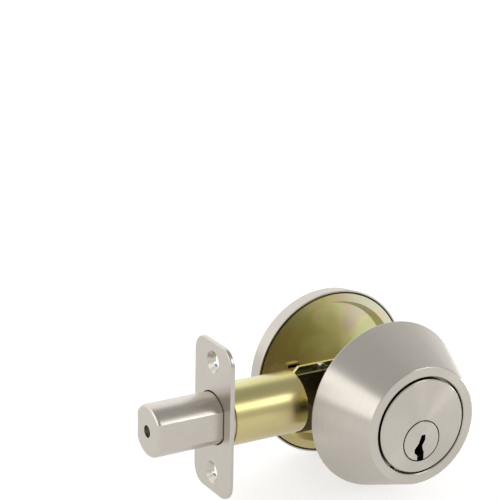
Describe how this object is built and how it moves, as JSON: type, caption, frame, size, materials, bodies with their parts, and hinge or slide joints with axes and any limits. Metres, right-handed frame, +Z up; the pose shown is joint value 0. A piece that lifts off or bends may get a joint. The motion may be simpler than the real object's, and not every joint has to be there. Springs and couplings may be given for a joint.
{
  "type": "deadbolt door lock",
  "caption": "Door deadbolt: tapered key housing outside, dished rose with thumbturn inside, and a tubular bolt with rounded faceplate, shown thrown.",
  "frame": {"origin": "where the axis of the door's large bore crosses the bolt's axis, at the middle of the door's thickness", "axes": "+X from the door's edge towards the cylinder, so the bolt comes out along -X; -Y is outside (key), +Y inside (thumbturn); +Z up"},
  "size_m": [0.1171, 0.0836, 0.0628],
  "materials": {
    "satin_nickel": "satin nickel plating, circular brushing on the round faces",
    "yellow_zinc": "yellow zinc dichromate plating, slightly iridescent",
    "dark_steel": "dark oiled steel sheet",
    "zinc_steel": "bright zinc plated steel",
    "hard_steel": "hardened steel, plain",
    "brass": "plain turned brass",
    "nylon": "natural nylon"
  },
  "bodies": {
    "lock_body": {"outer_housing": "satin_nickel", "cylinder_body": "satin_nickel", "faceplate": "satin_nickel", "rose_cover": "satin_nickel", "front_collar": "satin_nickel", "latch_tube": "yellow_zinc", "mounting_plate": "yellow_zinc", "inner_case_side": "yellow_zinc", "back_plate": "yellow_zinc", "faceplate_backing": "yellow_zinc", "tube_end_guide": "yellow_zinc", "outer_case_side": "dark_steel", "mounting_screws": "zinc_steel", "plate_screws": "zinc_steel", "cylinder_screws": "zinc_steel", "case_rivets": "zinc_steel", "screw_posts": "zinc_steel", "anti_drill_pins": "hard_steel", "cover_set_screw": "hard_steel", "driver_pins": "brass", "pin_springs": "hard_steel", "chamber_cover": "brass", "thumbturn_bushing": "nylon"},
    "turn": {"thumbturn": "satin_nickel", "thumbturn_clip": "hard_steel", "tailpiece": "zinc_steel", "hub": "zinc_steel", "crank_arms": "zinc_steel", "crank_pin": "hard_steel"},
    "bolt": {"bolt": "satin_nickel", "bolt_core_pin": "hard_steel", "bolt_tail": "zinc_steel", "bolt_tail_pin": "hard_steel"},
    "plug": {"key_plug": "satin_nickel", "key_pins": "brass", "plug_retainer_clip": "hard_steel"}
  },
  "joints": [
    {"name": "thumbturn_turn", "type": "hinge", "parent": "lock_body", "child": "turn", "pos_m": [0, 0, -0.0055], "axis": [0, 1, 0], "range_deg": [0, 90]},
    {"name": "bolt_slide", "type": "slide", "parent": "lock_body", "child": "bolt", "axis": [1, 0, 0], "range_m": [0, 0.0254]},
    {"name": "plug_turn", "type": "hinge", "parent": "lock_body", "child": "plug", "pos_m": [0, 0, -0.0055], "axis": [0, 1, 0], "range_deg": [0, 90]}
  ],
  "couplings": [
    {"joint": "thumbturn_turn", "follows": "bolt_slide", "rad_per_m": 61.842},
    {"joint": "plug_turn", "follows": "bolt_slide", "rad_per_m": 61.842}
  ]
}
